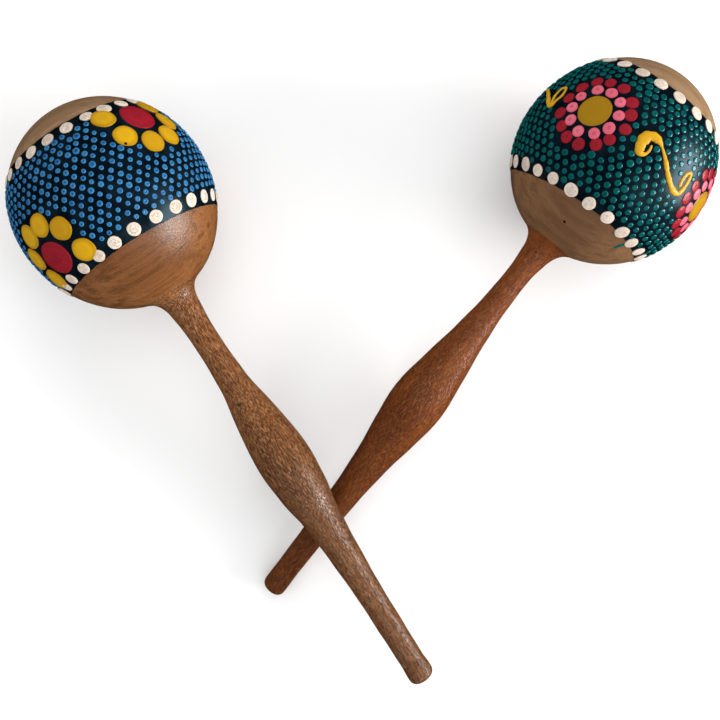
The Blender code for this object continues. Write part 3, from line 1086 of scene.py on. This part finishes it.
def seed_shape():
    """A seed's points about its centre, pinched at one side, and its faces."""
    rows, sides = 18, 28
    polar = np.linspace(0.0, math.pi, rows + 2)[1:-1]
    angle = np.arange(sides) * math.tau / sides
    ball = np.stack(np.broadcast_arrays(
        np.sin(polar)[:, None] * np.cos(angle), np.sin(polar)[:, None] * np.sin(angle),
        np.cos(polar)[:, None]), -1)
    pinch = 1.0 - 0.10 * np.exp(-((ball[..., 1:2] - 1.0) / 0.25) ** 2)
    skin = ball * pinch * np.array(SEED_RADII) * SEED_SHARE
    pole = SEED_RADII[2] * SEED_SHARE
    points = np.vstack([skin.reshape(-1, 3), [0.0, 0.0, pole], [0.0, 0.0, -pole]])
    top = rows * sides
    faces = ring_faces(rows, sides, False)
    faces += fan(top, 0, sides) + fan(top + 1, top - sides, sides, True)
    return points, faces


def build_seeds(maraca, rng):
    """A dry, slightly pinched seed in place of each plain one."""
    shape, faces = seed_shape()
    for number in range(1, SEEDS_PER_HEAD + 1):
        node = f"{maraca.name}_seed_{number:02d}"
        low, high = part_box(node)
        centre = (low + high) / 2.0
        turn = Matrix.Rotation(rng.uniform(0.0, math.tau), 3, Vector(rng.normal(size=3)))
        points = shape @ np.array(turn.transposed())
        home = maraca.matrix.inverted() @ centre
        points += np.array(home) / MM
        riding = frame["nodes"][node].parent.name.split(":", 1)[1]
        Piece().add(points, faces).build(
            f"{node}_skin", maraca, MATERIALS["seed"], riding, "seed", [node])


def build_floor():
    mesh = bpy.data.meshes.new("floor")
    half = FLOOR_HALF
    mesh.from_pydata([(-half, -half, 0), (half, -half, 0), (half, half, 0), (-half, half, 0)],
                     [], [(0, 1, 2, 3)])
    mesh.materials.append(floor_paint("floor"))
    floor = bpy.data.objects.new("floor", mesh)
    floor.location.z = -FLOOR_DROP
    floor.visible_glossy = False
    bpy.context.scene.collection.objects.link(floor)


def build_light(name, place_m, size, power, colour):
    light = bpy.data.lights.new(name, "AREA")
    light.shape = "RECTANGLE"
    light.size, light.size_y = size
    light.energy = power
    light.color = colour
    obj = bpy.data.objects.new(name, light)
    obj.location = place_m
    aim = Vector(LIGHTS_AIM) - Vector(place_m)
    obj.rotation_euler = aim.to_track_quat("-Z", "Y").to_euler()
    obj.visible_glossy = name != "ceiling"
    bpy.context.scene.collection.objects.link(obj)


def build_daylight():
    """An even white surrounding that doesn't show in the varnish."""
    world = bpy.data.worlds.new("world")
    bpy.context.scene.world = world
    world.use_nodes = True
    background = world.node_tree.nodes["Background"]
    background.inputs["Color"].default_value = (1.0, 1.0, 1.0, 1.0)
    background.inputs["Strength"].default_value = DAYLIGHT
    world.cycles_visibility.glossy = False
    bpy.context.scene.view_settings.view_transform = "Standard"


def build_camera():
    """Straight above the pair, where the perspective of the heads comes from."""
    camera = bpy.data.cameras.new("camera")
    camera.sensor_width = CAMERA_SENSOR
    camera.lens = CAMERA_LENS
    obj = bpy.data.objects.new("camera", camera)
    low, high = CAD_BOX
    middle = [(low[i] + high[i]) / 2.0 for i in range(2)]
    obj.location = (middle[0] + CAMERA_ASIDE[0], middle[1] + CAMERA_ASIDE[1], CAMERA_HEIGHT)
    bpy.context.scene.collection.objects.link(obj)
    bpy.context.scene.camera = obj


# Woods: light, middle, dark and line or pore. Paints: rim, body and dimple.
MATERIALS = {
    # Black band: a base and paler patches, both tinted blue as a painted sheen.
    "band": band_paint("black_band", ((3, 12, 20), (12, 27, 37))),
    "cream": cream_paint("cream_drops"),
    "blue": drop_paint("blue_drops", ((46, 116, 164), (18, 86, 140), (6, 36, 80))),
    "green": drop_paint(
        "green_drops", ((4, 90, 88), (1, 70, 72), (1, 44, 50)), heart_size=0.40,
        heart_amount=0.6, roughness=0.16, specular=0.7, glint=COOL_GLINT),
    "yellow": drop_paint(
        "yellow_petals", ((166, 122, 1), (196, 150, 1), (172, 120, 2)), heart_size=0.5,
        heart_amount=0.2, roughness=0.34, specular=0.2, wrinkle=0.10),
    "mustard": drop_paint(
        "mustard_hearts", ((148, 108, 1), (172, 130, 1), (146, 106, 2)), heart_size=0.6,
        heart_amount=0.2, roughness=0.34, specular=0.2, wrinkle=0.10),
    "crimson": drop_paint(
        "crimson_drops", ((134, 12, 30), (148, 14, 34), (112, 8, 22)), heart_size=0.5,
        heart_amount=0.3, roughness=0.32, specular=0.3, wrinkle=0.06),
    "pink": drop_paint(
        "pink_drops", ((204, 86, 106), (216, 112, 132), (176, 56, 82)), heart_size=0.5,
        heart_amount=0.6, roughness=0.34, specular=0.3, wrinkle=0.12),
    "squiggle": drop_paint(
        "squiggle_paint", ((192, 142, 10), (206, 158, 22), (180, 130, 8)), heart_size=0.4,
        heart_amount=0.1, roughness=0.34, specular=0.3),
    "fleck": drop_paint("dark_fleck", ((30, 18, 12), (24, 14, 10), (12, 8, 6))),
    "dark_green": drop_paint("dark_green_spatter", ((22, 60, 38), (12, 50, 34), (6, 30, 22))),
    "slate": drop_paint("slate_spatter", ((92, 78, 96), (72, 64, 92), (50, 46, 70))),
    "seed": seed_skin("seed_skin"),
    "blue_crown": head_wood(
        "blue_crown_wood",
        ((156, 122, 88), (142, 108, 74), (122, 88, 56), (114, 80, 50)), shine=0.42),
    "blue_foot": head_wood(
        "blue_foot_wood", ((138, 88, 46), (114, 68, 31), (86, 48, 18), (78, 42, 15)), shine=0.32),
    "green_crown": head_wood(
        "green_crown_wood",
        ((164, 132, 98), (150, 118, 84), (128, 96, 64), (118, 86, 56)), shine=0.42),
    "green_foot": head_wood(
        "green_foot_wood", ((134, 94, 56), (116, 77, 42), (102, 65, 33), (92, 58, 29)), shine=0.46),
    # The handles' last numbers darken the wood towards the butt and paint a highlight towards the
    # neck.
    "blue_handle": handle_wood(
        "blue_handle_wood", ((176, 126, 80), (130, 79, 39), (104, 58, 26), (58, 30, 12)),
        fleck_amount=0.72, pore_amount=0.85, dark_butt_and_neck_highlight=((-135.0, 0.76), (-75.0, 1.15))),
    "green_handle": handle_wood(
        "green_handle_wood", ((158, 94, 40), (116, 58, 15), (94, 43, 9), (58, 25, 6)),
        fleck_amount=0.50, pore_amount=0.60, dark_butt_and_neck_highlight=((-190.0, 0.78), (-60.0, 1.35))),
}

for pair_member in (BLUE, GREEN):
    place(pair_member)
    chance = np.random.default_rng(pair_member.seed)
    build_wood(pair_member, chance)
    build_seeds(pair_member, chance)
build_blue(np.random.default_rng(BLUE.paint_seed))
build_green(np.random.default_rng(GREEN.paint_seed))
build_floor()
for light_values in LIGHTS:
    build_light(*light_values)
build_daylight()
build_camera()
